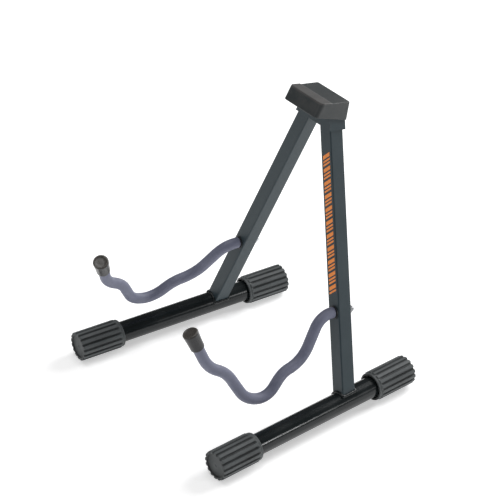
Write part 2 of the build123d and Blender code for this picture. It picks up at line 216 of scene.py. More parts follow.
@dataclass(frozen=True)
class PaintedSteel:
    """Stoved paint on tube and sheet: fine orange peel, faint clouding and a few dull scuffs."""

    name: str
    colour: Colour
    worn: Colour
    roughness: float
    peel: float
    cloud_size: float = 45 * MM
    speck_size: float = 1.1 * MM
    peel_size: float = 3.5 * MM
    scuff_size: float = 9 * MM
    scuff_stretch: tuple[float, float, float] = (1.0, 1.0, 0.35)
    cloudiness: float = 0.35
    speckle: float = 0.3
    scuffing: float = 0.35
    gloss: float = 0.35

    def material(self) -> bpy.types.Material:
        """The finish as a material."""
        sheet = ShaderSheet(self.name)
        clouds = sheet.grain(self.cloud_size, 3.0).step(0.35, 0.7)
        specks = sheet.grain(self.speck_size, 2.0)
        scuffs = sheet.grain(self.scuff_size, 4.0, sheet.stretched(self.scuff_stretch)).step(0.64, 0.78)
        share = (clouds * self.cloudiness + (specks - 0.5) * self.speckle).held()
        fresh = sheet.mixed(self.colour, self.worn, share)
        sheet.shade(
            Base_Color=sheet.mixed(fresh, self.worn, scuffs * self.scuffing),
            Roughness=(self.roughness + (clouds - 0.5) * 0.06 + scuffs * 0.12).held(),
            Normal=sheet.relief(specks + sheet.grain(self.peel_size, 1.0) * 1.5, self.peel),
            Specular_IOR_Level=self.gloss,
        )
        return sheet.material


@dataclass(frozen=True)
class MouldedRubber:
    """Moulded rubber or plastic: fine spark-eroded grain, faint flow clouds and dust, and painted highlight
    and painted shade where a piece stores them in an attribute.
    """

    name: str
    colour: Colour
    # The dust colour, which is also the paler colour that the painted highlight mixes towards.
    dust_and_painted_light: Colour
    roughness: float
    grain: float
    grain_depth: float
    dustiness: float = 1.0
    flow_size: float = 16 * MM
    flow_stretch: tuple[float, float, float] = (1.0, 0.5, 1.0)
    dust_size: float = 6 * MM
    painted_light_strength: float = 0.7

    def material(self) -> bpy.types.Material:
        """The finish as a material."""
        sheet = ShaderSheet(self.name)
        pores = sheet.grain(self.grain, 3.0)
        flow = sheet.grain(self.flow_size, 3.0, sheet.stretched(self.flow_stretch)).step(0.3, 0.75)
        dusty = sheet.grain(self.dust_size, 5.0).step(0.52, 0.8)
        # The stored painted light: a share towards the paler colour, painted highlight where high and
        # painted shade where low.
        wear_and_painted_light = sheet.node("ShaderNodeAttribute", {"attribute_name": PAINTED_LIGHT_ATTRIBUTE}, {}, "Fac")
        share = (flow * 0.3 + (pores - 0.5) * 0.4) * self.dustiness + wear_and_painted_light * self.painted_light_strength
        body = sheet.mixed(self.colour, self.dust_and_painted_light, share.held())
        sheet.shade(
            Base_Color=sheet.mixed(body, self.dust_and_painted_light, dusty * (0.3 * self.dustiness)),
            Roughness=(self.roughness + (pores - 0.5) * 0.12 + dusty * 0.08).held(),
            Normal=sheet.relief(pores, self.grain_depth),
        )
        return sheet.material


@dataclass(frozen=True)
class FoamSkin:
    """Extruded foam tube: closed cells under a soft skin, with painted shade in the cells' pits, slightly
    paler where it is worn.
    """

    name: str
    colour: Colour
    wear_and_painted_light: Colour
    roughness: float = 0.54
    gloss: float = 0.55
    cell_size: float = 0.55 * MM
    lump_size: float = 2.2 * MM
    patch_size: float = 24 * MM
    depth: float = 0.10 * MM
    pit_shade: float = 0.55

    def material(self) -> bpy.types.Material:
        """The finish as a material."""
        sheet = ShaderSheet(self.name)
        lumps = sheet.grain(self.lump_size, 3.0)
        patches = sheet.grain(self.patch_size, 3.0).step(0.4, 0.7)
        pits = 1.0 - sheet.cells(self.cell_size).step(0.05, 0.45)
        skin = sheet.mixed(self.colour, self.wear_and_painted_light, (patches * 0.5 + (lumps - 0.5) * 0.5).held())
        # Painted shade: the cells' pits are darkened, as if shade falls into them.
        deep = tuple(self.pit_shade * channel for channel in self.colour)
        sheet.shade(
            Base_Color=sheet.mixed(skin, deep, pits * 0.35),
            Roughness=(self.roughness + (lumps - 0.5) * 0.14).held(),
            Normal=sheet.relief(lumps * 1.2 - pits * 0.8, self.depth),
            Specular_IOR_Level=self.gloss,
        )
        return sheet.material


@dataclass(frozen=True)
class PlatedSteel:
    """Bright zinc plate or turned steel, with fine lines and slight staining."""

    name: str
    colour: Colour
    stained: Colour
    roughness: float
    line: float
    line_stretch: tuple[float, float, float] = (1.0, 6.0, 1.0)
    line_depth: float = 0.02 * MM
    stain_size: float = 4 * MM

    def material(self) -> bpy.types.Material:
        """The finish as a material."""
        sheet = ShaderSheet(self.name)
        lines = sheet.grain(self.line, 2.0, sheet.stretched(self.line_stretch))
        stains = sheet.grain(self.stain_size, 4.0).step(0.45, 0.75)
        sheet.shade(
            Base_Color=sheet.mixed(self.colour, self.stained, stains * 0.6),
            Metallic=1.0,
            Roughness=(self.roughness + (lines - 0.5) * 0.2 + stains * 0.12).held(),
            Normal=sheet.relief(lines, self.line_depth),
        )
        return sheet.material


@dataclass(frozen=True)
class ScreenInk:
    """Screen-printed ink, a little uneven in thickness."""

    name: str
    colour: Colour
    thin: Colour
    roughness: float = 0.42
    mottle_size: float = 1.4 * MM
    depth: float = 0.02 * MM

    def material(self) -> bpy.types.Material:
        """The finish as a material."""
        sheet = ShaderSheet(self.name)
        mottle = sheet.grain(self.mottle_size, 3.0)
        sheet.shade(
            Base_Color=sheet.mixed(self.colour, self.thin, mottle.step(0.45, 0.8) * 0.6),
            Roughness=(self.roughness + (mottle - 0.5) * 0.15).held(),
            Normal=sheet.relief(mottle, self.depth),
        )
        return sheet.material


@dataclass(frozen=True)
class StudioFloor:
    """Matt white sweep with the faintest texture, lit a little from within so its shadows stay pale."""

    name: str
    colour: Colour
    glow: float = 0.46
    shade: float = 0.985
    mottle_size: float = 180 * MM

    def material(self) -> bpy.types.Material:
        """The finish as a material."""
        sheet = ShaderSheet(self.name)
        darker = tuple(self.shade * channel for channel in self.colour)
        sheet.shade(
            Base_Color=sheet.mixed(self.colour, darker, sheet.grain(self.mottle_size, 2.0)),
            Roughness=0.9,
            Emission_Color=(1.0, 1.0, 1.0),
            Emission_Strength=self.glow,
        )
        return sheet.material


CHARCOAL_PAINT = PaintedSteel(
    "charcoal_paint", (0.025, 0.042, 0.051), (0.047, 0.066, 0.075), 0.42, 0.03 * MM
)
GLOSS_PAINT = PaintedSteel("gloss_paint", (0.008, 0.011, 0.012), (0.018, 0.022, 0.023), 0.2, 0.002 * MM)
# Each rubber's second colour is its dust colour, and also the colour that its painted highlight mixes
# towards.
SLEEVE_RUBBER = MouldedRubber(
    "sleeve_rubber", (0.015, 0.018, 0.019), (0.090, 0.100, 0.103), 0.6, 0.5 * MM, 0.05 * MM
)
CAP_RUBBER = MouldedRubber(
    "cap_rubber", (0.028, 0.034, 0.036), (0.085, 0.082, 0.080), 0.5, 0.6 * MM, 0.05 * MM
)
TIP_RUBBER = MouldedRubber(
    "tip_rubber", (0.006, 0.006, 0.008), (0.110, 0.100, 0.088), 0.28, 0.9 * MM, 0.012 * MM, 0.1
)
BUSH_PLASTIC = MouldedRubber(
    "bush_plastic", (0.016, 0.019, 0.021), (0.040, 0.044, 0.046), 0.4, 0.8 * MM, 0.015 * MM
)
NYLON = MouldedRubber("nylon_ring", (0.32, 0.36, 0.42), (0.45, 0.48, 0.52), 0.35, 0.6 * MM, 0.01 * MM)
COVER_FOAM = FoamSkin("cover_foam", (0.150, 0.160, 0.230), (0.205, 0.215, 0.290))
ZINC = PlatedSteel("zinc_plate", (0.62, 0.63, 0.65), (0.42, 0.43, 0.46), 0.28, 0.35 * MM)
TURNED_STEEL = PlatedSteel("turned_steel", (0.50, 0.50, 0.50), (0.34, 0.33, 0.32), 0.35, 0.25 * MM)
ORANGE_INK = ScreenInk("orange_ink", (1.0, 0.29, 0.03), (0.80, 0.20, 0.02))


# Geometry


@dataclass(frozen=True)
class Axes:
    """A local frame: where it is, and which ways its own right, rear and up point."""

    origin: Vector
    right: Vector
    rear: Vector
    up: Vector

    def at(self, right: float, rear: float, up: float) -> Vector:
        """The point at those distances along the frame's own directions."""
        return self.origin + self.right * right + self.rear * rear + self.up * up

    def moved(self, right: float, rear: float, up: float) -> "Axes":
        """The same frame at another origin."""
        return Axes(self.at(right, rear, up), self.right, self.rear, self.up)

    def turned(self, degrees: float) -> "Axes":
        """The frame turned about its own rear direction, its top towards its right for angles above 0."""
        turn = Matrix.Rotation(math.radians(degrees), 3, self.rear)
        return Axes(self.origin, turn @ self.right, self.rear, turn @ self.up)


def head_axes() -> Axes:
    """The frame midway between the two pivots."""
    left = Vector(JOINTS["left_leg_fold"]["pos_m"])
    right = Vector(JOINTS["right_leg_fold"]["pos_m"])
    rear = Vector(JOINTS["right_leg_fold"]["axis"]).normalized()
    across = (right - left).normalized()
    return Axes((left + right) / 2, across, rear, across.cross(rear))


def added(name: str, data: bpy.types.ID) -> bpy.types.Object:
    """Make an object of a mesh, a light or a camera, in the scene."""
    made = bpy.data.objects.new(name, data)
    bpy.context.scene.collection.objects.link(made)
    return made


@dataclass
class Skin:
    """Corners and faces of a mesh in the making, in the stand's own frame."""

    points: list[Vector] = field(default_factory=list)
    faces: list[tuple[int, ...]] = field(default_factory=list)

    def ring(self, points: Sequence[Vector]) -> list[int]:
        """Add a ring of points, and return their numbers."""
        self.points.extend(points)
        return list(range(len(self.points) - len(points), len(self.points)))

    def bridge(self, first: Sequence[int], second: Sequence[int]) -> None:
        """Join two rings of equal count with four-sided faces."""
        count = len(first)
        for index in range(count):
            after = (index + 1) % count
            self.faces.append((first[index], first[after], second[after], second[index]))

    def close(self, ring: Sequence[int], centre: Vector, flip: bool = False) -> None:
        """Fill a ring with a fan to a point.

        Args:
            ring: The ring's numbers.
            centre: The point that the fan meets at.
            flip: Whether the fan faces the other way.
        """
        hub = self.ring([centre])[0]
        count = len(ring)
        for index in range(count):
            pair = (ring[index], ring[(index + 1) % count])
            self.faces.append((*(pair if flip else reversed(pair)), hub))

    def stack(self, rings: Sequence[Sequence[Vector]], loop: bool = False) -> list[list[int]]:
        """Add rings and join each to the next.

        Args:
            rings: The rings, in order.
            loop: Whether the last is joined to the first.

        Returns:
            The numbers of each ring's points.
        """
        numbered = [self.ring(points) for points in rings]
        for first, second in zip(numbered, numbered[1:]):
            self.bridge(first, second)
        if loop:
            self.bridge(numbered[-1], numbered[0])
        return numbered

    def piece(self, name: str, finish: bpy.types.Material, crease: float = 40.0) -> bpy.types.Object:
        """Make the object, smooth but for edges sharper than an angle.

        Args:
            name: The piece's name.
            finish: Its material.
            crease: The angle above which an edge stays sharp, in degrees.

        Returns:
            The object.
        """
        mesh = bpy.data.meshes.new(name)
        mesh.from_pydata([tuple(point) for point in self.points], [], self.faces)
        mesh.validate()
        outwards(mesh)
        mesh.shade_smooth()
        mesh.set_sharp_from_angle(angle=math.radians(crease))
        mesh.materials.append(finish)
        return added(name, mesh)


def outwards(mesh: bpy.types.Mesh) -> None:
    """Turn a closed mesh inside out if its faces point inwards."""
    mesh.calc_loop_triangles()
    volume = 0.0
    for triangle in mesh.loop_triangles:
        a, b, c = (mesh.vertices[index].co for index in triangle.vertices)
        volume += a.dot(b.cross(c))
    if volume < 0:
        mesh.flip_normals()


def circle(count: int) -> list[Point2]:
    """The cosine and sine of evenly spaced angles round a circle."""
    return [(math.cos(2 * math.pi * k / count), math.sin(2 * math.pi * k / count)) for k in range(count)]


def arc(centre: Point2, radius: float, start: float, end: float, steps: int) -> list[Point2]:
    """Points on an arc, ends included, between two angles in degrees and with that many spans."""
    angles = [math.radians(start + (end - start) * k / steps) for k in range(steps + 1)]
    return [(centre[0] + radius * math.cos(a), centre[1] + radius * math.sin(a)) for a in angles]


def turned_round(
    axes: Axes,
    profile: Sequence[Point2],
    count: int,
    relief: Callable[[float, float, float], float] = lambda angle, radius, height: 0.0,
    ring: bool = False,
) -> Skin:
    """A solid turned about a frame's up direction, whose skin may be carved.

    Args:
        axes: The frame.
        profile: Radius and height of each point, from axis to axis, or round a closed loop.
        count: How many points each ring has.
        relief: How far the skin stands out, from the angle, the radius and the height.
        ring: Whether the profile is a closed loop, which never touches the axis.

    Returns:
        The solid's skin.
    """
    skin = Skin()
    rings = []
    for radius, height in profile:
        if radius <= 0:
            continue
        points = []
        for index, (cosine, sine) in enumerate(circle(count)):
            reach = radius + relief(2 * math.pi * index / count, radius, height)
            points.append(axes.at(reach * cosine, reach * sine, height))
        rings.append(points)
    numbered = skin.stack(rings, loop=ring)
    if not ring:
        skin.close(numbered[0], axes.at(0, 0, profile[0][1]))
        skin.close(numbered[-1], axes.at(0, 0, profile[-1][1]), flip=True)
    return skin


@dataclass(frozen=True)
class Run:
    """A straight or an arc of a path in a plane."""

    start: Point2
    heading: float
    length: float
    curvature: float = 0.0

    def at(self, along: float) -> tuple[Point2, float]:
        """The point and the heading at a distance along the run."""
        x, y = self.start
        if self.curvature == 0.0:
            return (x + along * math.cos(self.heading), y + along * math.sin(self.heading)), self.heading
        heading = self.heading + self.curvature * along
        x += (math.sin(heading) - math.sin(self.heading)) / self.curvature
        y -= (math.cos(heading) - math.cos(self.heading)) / self.curvature
        return (x, y), heading


class Route:
    """A path of straights with an arc at each corner."""

    def __init__(self, corners: Sequence[Point2], radii: Sequence[float]) -> None:
        """Lay out the runs.

        Args:
            corners: The ends and the corners between them.
            radii: The radius of the arc at each corner between the ends.
        """
        self.runs: list[Run] = []
        legs = [(b[0] - a[0], b[1] - a[1]) for a, b in zip(corners, corners[1:])]
        headings = [math.atan2(dy, dx) for dx, dy in legs]
        turns = [math.remainder(b - a, 2 * math.pi) for a, b in zip(headings, headings[1:])]
        cuts = [0.0, *[r * math.tan(abs(t) / 2) for r, t in zip(radii, turns)], 0.0]
        place = corners[0]
        for index, (dx, dy) in enumerate(legs):
            length = math.hypot(dx, dy) - cuts[index] - cuts[index + 1]
            place = self._add(Run(place, headings[index], length))
            if index < len(turns):
                bend = math.copysign(1 / radii[index], turns[index])
                place = self._add(Run(place, headings[index], radii[index] * abs(turns[index]), bend))
        self.length = sum(run.length for run in self.runs)

    def _add(self, run: Run) -> Point2:
        """Add a run, and return the point where it ends."""
        self.runs.append(run)
        return run.at(run.length)[0]

    def at(self, along: float) -> tuple[Point2, float, float]:
        """The point, the heading and the curvature at a distance along the route."""
        for run in self.runs[:-1]:
            if along <= run.length:
                return (*run.at(along), run.curvature)
            along -= run.length
        return (*self.runs[-1].at(along), self.runs[-1].curvature)


def wobble(value: float, seed: float) -> float:
    """A smooth repeatable wander between about -1 and 1, another for each seed."""
    waves = ((1.0, 0.0, 0.5), (2.3, 1.7, 0.3), (4.9, 4.1, 0.2))
    return sum(share * math.sin(rate * value + phase + seed) for rate, phase, share in waves)


def between(low: float, high: float, value: float) -> float:
    """A smooth step from 0 at low to 1 at high."""
    share = min(1.0, max(0.0, (value - low) / (high - low)))
    return share * share * (3 - 2 * share)


def spread(start: float, end: float, step: float) -> list[float]:
    """Evenly spaced values from start to end, about a step apart."""
    count = max(1, round(abs(end - start) / step))
    return [start + (end - start) * k / count for k in range(count + 1)]


def store_painted_light(piece: bpy.types.Object, share: Callable[[Vector], float]) -> None:
    """Store how far each point of a piece is painted paler, as painted highlight and painted shade, by a
    share that its place gives.
    """
    wear_and_painted_light = piece.data.attributes.new(PAINTED_LIGHT_ATTRIBUTE, "FLOAT", "POINT")
    wear_and_painted_light.data.foreach_set("value", [share(vertex.co) for vertex in piece.data.vertices])


def dress(node: str, finish: bpy.types.Material) -> None:
    """Give a CAD node its finish.

    Args:
        node: The node's name.
        finish: The material.
    """
    materials = NODES[node].data.materials
    materials.clear()
    materials.append(finish)
    LOG.info("%s wears %s", node, finish.name)


@dataclass(frozen=True)
class Stance:
    """How the opened stand stands, in degrees and metres."""

    splay: float = 20.0
    pivot_offset: float = 15.0 * MM
    leg_half: float = 11.0 * MM
    leg_length: float = 402.5 * MM
    arm_below_pivot: float = 277.5 * MM
    right_swing: float = 14.3
    left_swing: float = -7.3

    def leg(self, side: Side) -> Axes:
        """The frame at a leg's pivot, with its up along the leg."""
        return head_axes().moved(side.sign * self.pivot_offset, 0, 0).turned(-side.sign * self.splay)

    def arm(self, side: Side) -> Axes:
        """The frame where an arm meets its leg's front face, with its up in the arm's own plane."""
        swing = self.right_swing if side is Side.RIGHT else self.left_swing
        root = self.leg(side).moved(0, -self.leg_half, -self.arm_below_pivot)
        return root.turned(side.sign * swing)

    def lean(self) -> float:
        """The lean of the legs' plane, in radians."""
        return math.asin(-head_axes().rear.z)

    def foot_pitch(self) -> float:
        """How far a foot is from square with its leg, in radians."""
        return math.atan(math.tan(self.lean()) / math.cos(math.radians(self.splay)))

    def foot(self, side: Side) -> Axes:
        """The level frame where a leg meets its foot's axis, with its rear along the foot."""
        toe_in = side.sign * math.asin(math.sin(math.radians(self.splay)) * math.sin(self.foot_pitch()))
        right = Vector((math.cos(toe_in), math.sin(toe_in), 0))
        rear = Vector((-math.sin(toe_in), math.cos(toe_in), 0))
        return Axes(self.leg(side).at(0, 0, -self.leg_length), right, rear, Vector((0, 0, 1)))


# The stand


@dataclass
class Head:
    """The bracket and its cap, with the two pivot bolts."""

    stance: Stance
    nut_face: float = 15.1 * MM
    thread_end: float = 23.6 * MM
    cap_voxel: float = 0.6 * MM
    cap_softening: int = 14
    cap_top: float = 16.5 * MM
    painted_band_height: float = 2.5 * MM
    band_rear: float = -16.0 * MM
    band_edge: float = 1.0 * MM

    def build(self) -> None:
        """Dress the bracket, the cap and the fasteners, and add threads and rings."""
        paint, cap = CHARCOAL_PAINT.material(), CAP_RUBBER.material()
        zinc, steel, nylon = ZINC.material(), TURNED_STEEL.material(), NYLON.material()
        dress("head_bracket", paint)
        self.moulded_cap(cap)
        dress("cap_screw", zinc)
        for side in Side:
            for part in ("bolt", "washers", "nut"):
                dress(f"{side.value}_pivot_{part}", zinc)
            dress(f"{side.value}_pivot_bush", steel)
            pivot = head_axes().moved(side.sign * self.stance.pivot_offset, 0, 0)
            end = Fastening(pivot, f"{side.value}_pivot", "head", self.nut_face, self.thread_end)
            end.build(zinc, nylon)

    def wear_and_painted_light(self, place: Vector) -> float:
        """How far the cap is painted paler at a place: a painted highlight on the top of the raised band.
        """
        axes = head_axes()
        rear, up = (place - axes.origin).dot(axes.rear), (place - axes.origin).dot(axes.up)
        band = 1 - between(self.band_rear - self.band_edge, self.band_rear + self.band_edge, rear)
        return band * between(self.cap_top - self.painted_band_height, self.cap_top, up)

    def moulded_cap(self, finish: bpy.types.Material) -> None:
        """Make the cap from its CAD node, with every edge softened as a moulding's is.

        Args:
            finish: Its rubber.
        """
        cap = added("rest_cap_moulded", NODES["rest_cap"].data.copy())
        cap.data.materials.clear()
        even = cap.modifiers.new("even", "REMESH")
        even.mode, even.voxel_size = "VOXEL", self.cap_voxel
        soft = cap.modifiers.new("soft", "SMOOTH")
        soft.factor, soft.iterations = 0.5, self.cap_softening
        shape = bpy.data.meshes.new_from_object(cap.evaluated_get(bpy.context.evaluated_depsgraph_get()))
        cap.modifiers.clear()
        cap.data = shape
        shape.shade_smooth()
        shape.materials.clear()
        shape.materials.append(finish)
        # Painted highlight along the top of the cap's raised band.
        store_painted_light(cap, self.wear_and_painted_light)
        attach(cap, "head")
        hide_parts("rest_cap")
        LOG.info("%s rides on head", cap.name)


@dataclass
class Fastening:
    """The end of a bolt or rod where it stands out of its lock nut."""

    axes: Axes
    name: str
    body: str
    nut_face: float
    thread_end: float
    nut_height: float = 6.0 * MM
    crest: float = 3.08 * MM
    root: float = 2.90 * MM
    pitch: float = 1.0 * MM
    chamfer: float = 0.5 * MM
    ring_bore: float = 3.1 * MM
    ring_radius: float = 3.75 * MM
    ring_proud: float = 0.12 * MM
    thread_step: float = 0.1 * MM
    around: int = 48

    def along(self) -> Axes:
        """The frame whose up is the bolt's direction, rearwards."""
        return Axes(self.axes.origin, self.axes.right, -self.axes.up, self.axes.rear)

    def build(self, zinc: bpy.types.Material, nylon: bpy.types.Material) -> None:
        """Make the thread and the nut's plastic ring.

        Args:
            zinc: The thread's finish.
            nylon: The ring's finish.
        """
        for piece in (self.thread(zinc), self.ring(nylon)):
            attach(piece, self.body)
            LOG.info("%s rides on %s", piece.name, self.body)

    def thread(self, finish: bpy.types.Material) -> bpy.types.Object:
        """The threaded end, with its tip turned down."""
        start = self.nut_face + self.nut_height - self.pitch
        tip = self.thread_end + self.ring_proud
        profile = [(0.0, start)]
        profile += [(self.crest, z) for z in spread(start, tip - self.chamfer, self.thread_step)]
        profile += [(self.root - self.chamfer, tip), (0.0, tip)]

        def groove(angle: float, radius: float, height: float) -> float:
            """How deep the thread lies at an angle and a height."""
            turn = (height / self.pitch - angle / (2 * math.pi)) % 1.0
            deep = (self.crest - self.root) * (1 - abs(2 * turn - 1))
            return -deep if radius == self.crest else 0.0

        skin = turned_round(self.along(), profile, self.around, groove)
        return skin.piece(f"{self.name}_thread", finish, 50)

    def ring(self, finish: bpy.types.Material) -> bpy.types.Object:
        """The plastic ring let into the nut's end."""
        top = self.nut_face + self.nut_height
        middle = ((self.ring_bore + self.ring_radius) / 2, top - self.ring_proud)
        half = (self.ring_radius - self.ring_bore) / 2
        loop = [(middle[0] + half * c, middle[1] + 2 * self.ring_proud * s) for c, s in circle(12)]
        skin = turned_round(self.along(), loop, self.around, ring=True)
        return skin.piece(f"{self.name}_nut_ring", finish, 60)


@dataclass
class Sleeve:
    """A ribbed rubber sleeve, pushed over one end of a foot."""

    axes: Axes
    name: str
    length: float = 67.0 * MM
    radius: float = 21.0 * MM
    collar: float = 5.0 * MM
    collar_radius: float = 19.9 * MM
    bore: float = 15.1 * MM
    counterbore: float = 17.2 * MM
    counterbore_depth: float = 5.0 * MM
    floor: float = 6.0 * MM
    ribs: int = 16
    groove: float = 2.1 * MM
    groove_mouth: float = 4.2 * MM
    groove_floor: float = 2.6 * MM
    edge: float = 0.8 * MM
    recess_radius: float = 16.2 * MM
    recess_depth: float = 1.8 * MM
    gate_radius: float = 2.2 * MM
    crowning: float = 0.15 * MM
    band_step: float = 1.0 * MM
    rib_step: float = 3.0 * MM
    steps_per_rib: int = 20

    def profile(self) -> list[Point2]:
        """The section, from the bore's closed end out of the mouth and over to the free end's middle."""
        bore_end = self.length - self.floor
        inside = [(0.0, bore_end), (self.bore, bore_end), (self.bore, self.counterbore_depth)]
        inside += [(self.counterbore, self.counterbore_depth), (self.counterbore, self.edge)]
        lip = arc((self.counterbore + self.edge / 2, self.edge / 2), self.edge / 2, 180, 270, 3)
        mouth = arc((self.collar_radius - self.edge, self.edge), self.edge, 270, 360, 5)
        low, rise, brink = self.collar_radius, self.radius - self.collar_radius, self.collar - self.edge
        band = [(low, z) for z in spread(self.edge, brink, self.band_step)[1:]]
        shoulder = [(low + rise * share, self.collar - self.edge * (1 - share)) for share in (0.4, 0.8)]
        top = self.length - self.edge
        ribbed = [(self.radius, z) for z in spread(self.collar, top, self.rib_step)]
        rim = arc((self.radius - self.edge, top), self.edge, 0, 90, 5)[1:]
        dish, wall = self.length - self.recess_depth, self.recess_radius
        slope = [(wall + 0.6 * MM, self.length), (wall + 0.2 * MM, self.length - 0.2 * MM)]
        slope += [(wall, self.length - 0.5 * MM), (wall, dish + 0.4 * MM), (wall - 0.4 * MM, dish)]
        gate = [(2 * self.gate_radius, dish), (self.gate_radius, dish + 0.05 * MM)]
        gate += [(0.85 * self.gate_radius, dish - 0.35 * MM), (0.0, dish - 0.4 * MM)]
        return [*inside, *lip, *mouth, *band, *shoulder, *ribbed, *rim, *slope, *gate]

    def carve(self, angle: float, radius: float, height: float) -> float:
        """How far the skin lies below the ribs' tops.

        Args:
            angle: The angle round the sleeve.
            radius: The radius before carving.
            height: The height above the mouth.

        Returns:
            The depth, below zero in the grooves.
        """
        outside = between(self.recess_radius + 1.0 * MM, self.radius - self.edge, radius)
        pitch = 2 * math.pi / self.ribs
        from_groove = abs((angle % pitch) - pitch / 2) * self.radius
        in_groove = 1 - between(self.groove_floor / 2, self.groove_mouth / 2, from_groove)
        ramp = between(self.collar - self.edge, self.collar + self.edge, height)
        from_rib = pitch / 2 * self.radius - from_groove
        crown = self.crowning * (from_rib / (pitch / 2 * self.radius)) ** 2
        return -outside * ramp * (self.groove * in_groove + crown * (1 - in_groove))

    def wear_and_painted_light(self, place: Vector) -> float:
        """How far the sleeve is painted paler at a place: on the ribs' tops, which leaves painted shade in
        the grooves, and a painted highlight on the end's middle.
        """
        off = place - self.axes.origin
        height = off.dot(self.axes.up)
        radius = (off - height * self.axes.up).length
        rib = between(self.radius - self.groove, self.radius - 0.3 * self.groove, radius)
        middle = 1 - between(self.recess_radius - 1 * MM, self.recess_radius, radius)
        dish = self.length - self.recess_depth
        return max(rib, middle * between(dish - 1 * MM, self.length, height + 1 * MM))

    def build(self, body: str, node: str, finish: bpy.types.Material) -> None:
        """Make the sleeve in place of its CAD node.

        Args:
            body: The body that it rides on.
            node: The CAD node.
            finish: Its rubber.
        """
        skin = turned_round(self.axes, self.profile(), self.ribs * self.steps_per_rib, self.carve)
        piece = skin.piece(self.name, finish, 50)
        # Painted shade in the grooves and a painted highlight on the end's middle.
        store_painted_light(piece, self.wear_and_painted_light)
        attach(piece, body)
        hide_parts(node)
        LOG.info("%s rides on %s", self.name, body)


@dataclass
class WeldBead:
    """The rippled weld round a leg where it stands on its foot."""

    leg: Axes
    length: float
    pitch_angle: float
    leg_half: float = 11.0 * MM
    corner: float = 1.8 * MM
    foot_radius: float = 15.0 * MM
    size: float = 2.3 * MM
    ripple: float = 0.28 * MM
    ripple_length: float = 2.1 * MM
    unevenness: float = 0.22 * MM
    uneven_length: float = 3.0 * MM
    outline_step: float = 0.35 * MM
    around: int = 14

    def outline(self) -> list[tuple[float, float, float]]:
        """Points round the leg, each with the angle that the wall faces."""
        flat = self.leg_half - self.corner
        points = []
        for quarter in range(4):
            facing = math.pi / 2 * quarter
            c, s = math.cos(facing), math.sin(facing)
            for y in spread(-flat, flat, self.outline_step)[1:-1]:
                points.append((self.leg_half * c - y * s, self.leg_half * s + y * c, facing))
            for step in spread(0, math.pi / 2, math.pi / 16):
                angle = facing + step
                x = c * flat - s * flat + self.corner * math.cos(angle)
                y = s * flat + c * flat + self.corner * math.sin(angle)
                points.append((x, y, angle))
        return points

    def build(self, name: str, body: str, node: str, finish: bpy.types.Material, seed: float) -> None:
        """Make the bead in place of its CAD node.

        Args:
            name: The piece's name.
            body: The body that it rides on.
            node: The CAD node.
            finish: Its paint.
            seed: What sets this bead's unevenness apart.
        """
        skin, rings, travelled, last = Skin(), [], 0.0, None
        sine, cosine = math.sin(self.pitch_angle), math.cos(self.pitch_angle)
        for x, y, facing in self.outline():
            over = math.sqrt(self.foot_radius**2 - x**2)
            height = (over + y * sine) / cosine - self.length
            here = Vector((x, y, height))
            travelled += (here - last).length if last else 0.0
            last = here
            wall = Vector((math.cos(facing), math.sin(facing), 0))
            ground = Vector((x, -over * sine, over * cosine)).normalized()
            tread = abs(math.sin(math.pi * travelled / self.ripple_length))
            uneven = self.unevenness * wobble(travelled / self.uneven_length, seed)
            radius = self.size + self.ripple * (tread - 0.5) + uneven
            centre = here + 0.12 * self.size * (wall + ground)
            ring = []
            for c, s in circle(self.around):
                local = centre + radius * (c * wall + s * (ground - wall * ground.dot(wall)).normalized())
                ring.append(self.leg.at(*local))
            rings.append(ring)
        skin.stack(rings, loop=True)
        piece = skin.piece(name, finish, 60)
        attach(piece, body)
        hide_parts(node)
        LOG.info("%s rides on %s", name, body)


@dataclass
class LegPrint:
    """A printed band of slanted bars down the front of a leg."""

    leg: Axes
    top: float = 58.0 * MM
    bottom: float = 254.0 * MM
    half_width: float = 7.0 * MM
    slant: float = 3.4 * MM
    face: float = 11.0 * MM
    thickness: float = 0.09 * MM
    bite: float = 0.02 * MM
    pattern: tuple[tuple[float, float], ...] = ((5.2, 2.2), (2.6, 1.9), (2.6, 3.4))

    def bar(self, skin: Skin, low: float, high: float) -> None:
        """Add one bar to the band.

        Args:
            skin: The band so far.
            low: The bar's lower edge, above the pivot.
            high: Its upper edge.
        """
        slant = self.slant
        ends = [(-1, low - slant), (1, low + slant), (1, high + slant), (-1, high - slant)]
        corners = []
        for depth in (self.bite, -self.thickness):
            rear = -self.face + depth
            corners.append(skin.ring([self.leg.at(end * self.half_width, rear, up) for end, up in ends]))
        skin.bridge(*corners)
        skin.faces.append(tuple(corners[0]))
        skin.faces.append(tuple(reversed(corners[1])))

    def build(self, name: str, body: str, finish: bpy.types.Material) -> None:
        """Make the band.

        Args:
            name: The piece's name.
            body: The body that it rides on.
            finish: Its ink.
        """
        skin, place, index = Skin(), -self.top - self.slant, 0
        while True:
            height, gap = (MM * size for size in self.pattern[index % len(self.pattern)])
            if place - height < -self.bottom + self.slant:
                break
            self.bar(skin, place - height, place)
            place -= height + gap
            index += 1
        piece = skin.piece(name, finish, 30)
        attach(piece, body)
        LOG.info("%s has %d bars and rides on %s", name, index, body)


